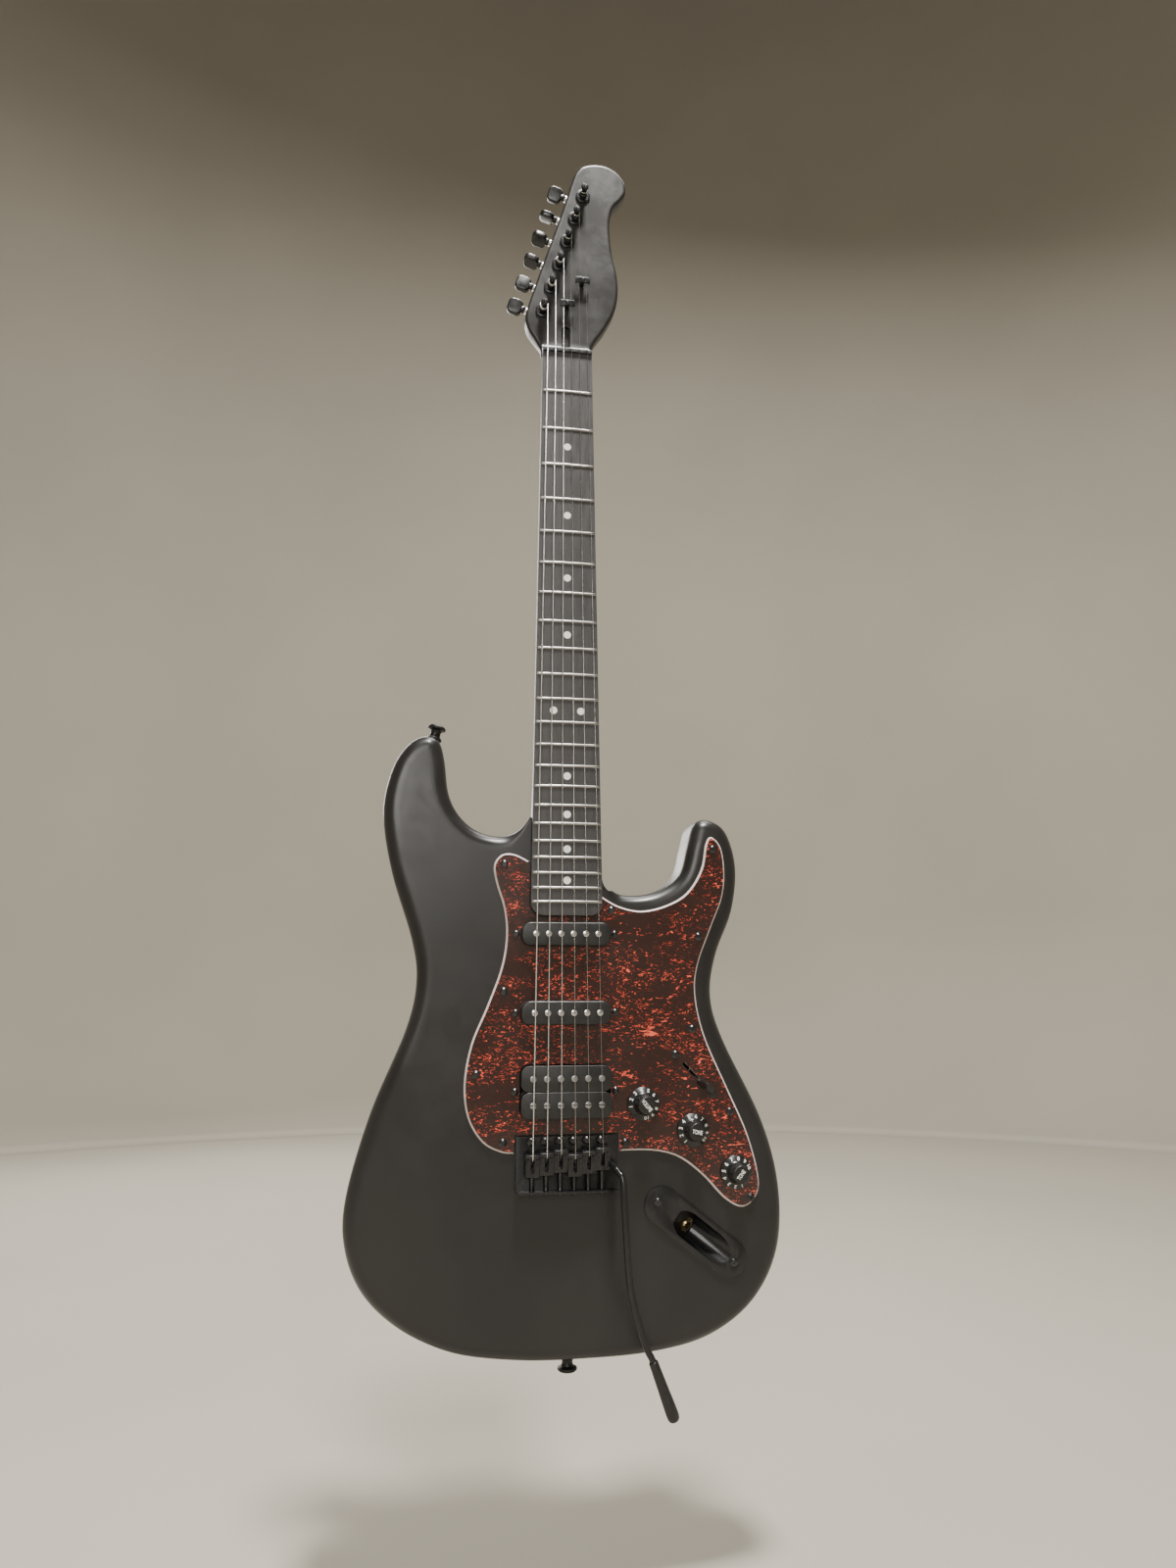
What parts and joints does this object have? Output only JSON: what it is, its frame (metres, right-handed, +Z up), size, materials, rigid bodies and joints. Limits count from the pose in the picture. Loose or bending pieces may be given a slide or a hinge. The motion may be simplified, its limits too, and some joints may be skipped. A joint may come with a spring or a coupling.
{
  "type": "electric guitar",
  "caption": "Solid double-cutaway electric guitar with a bolt-on neck, in-line tuners, single-coil and humbucking pickups and a sprung rocking bridge with a swinging arm.",
  "frame": {"origin": "the point where a wall hanger cradles the neck, centred between its prongs just under the shoulders of the headstock, at mid thickness", "axes": "+Z up the neck to the headstock, as it hangs; -Y out of the front, where the strings are; +X towards the thin-string side"},
  "size_m": [0.3305, 0.0803, 1.0291],
  "materials": {
    "body_black": "satin",
    "neck_black": "satin",
    "board": "satin",
    "fret_wire": "polished",
    "dot": "satin",
    "black_plastic": "satin",
    "black_metal": "satin",
    "black_screw": "blackened",
    "bare_steel": "satin",
    "shell_guard": "polished",
    "bucker_pole": "satin",
    "copper_wire": "enamelled",
    "capacitor": "glossy",
    "socket_metal": "polished",
    "string_steel": "polished",
    "grey_fibre": "matt"
  },
  "bodies": {
    "guitar": {"body": "body_black", "neck": "neck_black", "fingerboard": "board", "frets": "fret_wire", "position_dots": "dot", "nut": "black_plastic", "truss_rod": "bare_steel", "neck_plate": "black_metal", "neck_screws": "black_screw", "string_trees": "black_metal", "headstock_screws": "black_screw", "tuner_housings": "black_metal", "tuner_bushings": "black_metal", "strap_buttons": "black_metal", "body_screws": "black_screw", "pickguard": "shell_guard", "cover_screws": "black_screw", "single_coil_covers": "black_plastic", "single_coil_poles": "bare_steel", "coil_windings": "copper_wire", "humbucker_bobbins": "black_plastic", "humbucker_poles": "bucker_pole", "pickup_bases": "grey_fibre", "pickup_screws": "black_screw", "control_pots": "bare_steel", "tone_capacitor": "capacitor", "switch_frame": "bare_steel", "jack_plate": "black_metal", "output_jack": "socket_metal", "pivot_screws": "black_screw", "spring_claw": "bare_steel", "back_cover": "black_plastic", "strings": "string_steel", "trem_springs": "bare_steel"},
    "tremolo": {"bridge_plate": "black_metal", "trem_block": "black_metal", "saddles": "black_metal", "saddle_screws": "bare_steel", "intonation_screws": "bare_steel", "intonation_springs": "bare_steel"},
    "arm": {"trem_arm": "black_metal", "arm_tip": "black_plastic"},
    "volume_knob": {"volume_knob": "black_plastic"},
    "tone_knob_1": {"tone_knob_1": "black_plastic"},
    "tone_knob_2": {"tone_knob_2": "black_plastic"},
    "pickup_switch": {"switch_lever": "bare_steel", "switch_tip": "black_plastic"},
    "tuner_1": {"tuner_button_1": "black_plastic"},
    "post_1": {"tuner_post_1": "black_metal"},
    "tuner_2": {"tuner_button_2": "black_plastic"},
    "post_2": {"tuner_post_2": "black_metal"},
    "tuner_3": {"tuner_button_3": "black_plastic"},
    "post_3": {"tuner_post_3": "black_metal"},
    "tuner_4": {"tuner_button_4": "black_plastic"},
    "post_4": {"tuner_post_4": "black_metal"},
    "tuner_5": {"tuner_button_5": "black_plastic"},
    "post_5": {"tuner_post_5": "black_metal"},
    "tuner_6": {"tuner_button_6": "black_plastic"},
    "post_6": {"tuner_post_6": "black_metal"}
  },
  "joints": [
    {"name": "tremolo_rock", "type": "hinge", "parent": "guitar", "child": "tremolo", "pos_m": [0.001, -0.0115, -0.6633], "axis": [-1, 0, 0], "range_deg": [-2, 6], "stiffness_Nm_per_rad": 15, "deforming": ["strings", "trem_springs"]},
    {"name": "arm_swing", "type": "hinge", "parent": "tremolo", "child": "arm", "pos_m": [0.0345, -0.0115, -0.6813], "axis": [0, -1, 0], "range_deg": [-60, 150]},
    {"name": "volume_turn", "type": "hinge", "parent": "guitar", "child": "volume_knob", "pos_m": [0.0595, -0.0115, -0.638], "axis": [0, -1, 0], "range_deg": [-100, 200]},
    {"name": "tone_1_turn", "type": "hinge", "parent": "guitar", "child": "tone_knob_1", "pos_m": [0.098, -0.0115, -0.658], "axis": [0, -1, 0], "range_deg": [-140, 160]},
    {"name": "tone_2_turn", "type": "hinge", "parent": "guitar", "child": "tone_knob_2", "pos_m": [0.131, -0.0115, -0.6895], "axis": [0, -1, 0], "range_deg": [-202, 98]},
    {"name": "switch_lever", "type": "hinge", "parent": "guitar", "child": "pickup_switch", "pos_m": [0.0997, 0.0115, -0.617], "axis": [0.7242, 0, 0.6896], "range_deg": [-40, 0]},
    {"name": "tuner_1_turn", "type": "hinge", "parent": "guitar", "child": "tuner_1", "pos_m": [-0.01777, 0.013, 0.03237], "axis": [-0.9573, 0, 0.289], "continuous": true},
    {"name": "post_1_turn", "type": "hinge", "parent": "guitar", "child": "post_1", "pos_m": [-0.02, -0.0085, 0.025], "axis": [0, -1, 0], "continuous": true},
    {"name": "tuner_2_turn", "type": "hinge", "parent": "guitar", "child": "tuner_2", "pos_m": [-0.01075, 0.013, 0.05563], "axis": [-0.9573, 0, 0.289], "continuous": true},
    {"name": "post_2_turn", "type": "hinge", "parent": "guitar", "child": "post_2", "pos_m": [-0.01298, -0.0085, 0.04826], "axis": [0, -1, 0], "continuous": true},
    {"name": "tuner_3_turn", "type": "hinge", "parent": "guitar", "child": "tuner_3", "pos_m": [-0.00373, 0.013, 0.0789], "axis": [-0.9573, 0, 0.289], "continuous": true},
    {"name": "post_3_turn", "type": "hinge", "parent": "guitar", "child": "post_3", "pos_m": [-0.00595, -0.0085, 0.07153], "axis": [0, -1, 0], "continuous": true},
    {"name": "tuner_4_turn", "type": "hinge", "parent": "guitar", "child": "tuner_4", "pos_m": [0.0033, 0.013, 0.10216], "axis": [-0.9573, 0, 0.289], "continuous": true},
    {"name": "post_4_turn", "type": "hinge", "parent": "guitar", "child": "post_4", "pos_m": [0.00107, -0.0085, 0.09479], "axis": [0, -1, 0], "continuous": true},
    {"name": "tuner_5_turn", "type": "hinge", "parent": "guitar", "child": "tuner_5", "pos_m": [0.01032, 0.013, 0.12542], "axis": [-0.9573, 0, 0.289], "continuous": true},
    {"name": "post_5_turn", "type": "hinge", "parent": "guitar", "child": "post_5", "pos_m": [0.00809, -0.0085, 0.11805], "axis": [0, -1, 0], "continuous": true},
    {"name": "tuner_6_turn", "type": "hinge", "parent": "guitar", "child": "tuner_6", "pos_m": [0.01734, 0.013, 0.14869], "axis": [-0.9573, 0, 0.289], "continuous": true},
    {"name": "post_6_turn", "type": "hinge", "parent": "guitar", "child": "post_6", "pos_m": [0.01512, -0.0085, 0.14131], "axis": [0, -1, 0], "continuous": true}
  ],
  "couplings": [
    {"joint": "post_1_turn", "follows": "tuner_1_turn", "ratio": -0.066667},
    {"joint": "post_2_turn", "follows": "tuner_2_turn", "ratio": -0.066667},
    {"joint": "post_3_turn", "follows": "tuner_3_turn", "ratio": -0.066667},
    {"joint": "post_4_turn", "follows": "tuner_4_turn", "ratio": -0.066667},
    {"joint": "post_5_turn", "follows": "tuner_5_turn", "ratio": -0.066667},
    {"joint": "post_6_turn", "follows": "tuner_6_turn", "ratio": -0.066667}
  ]
}
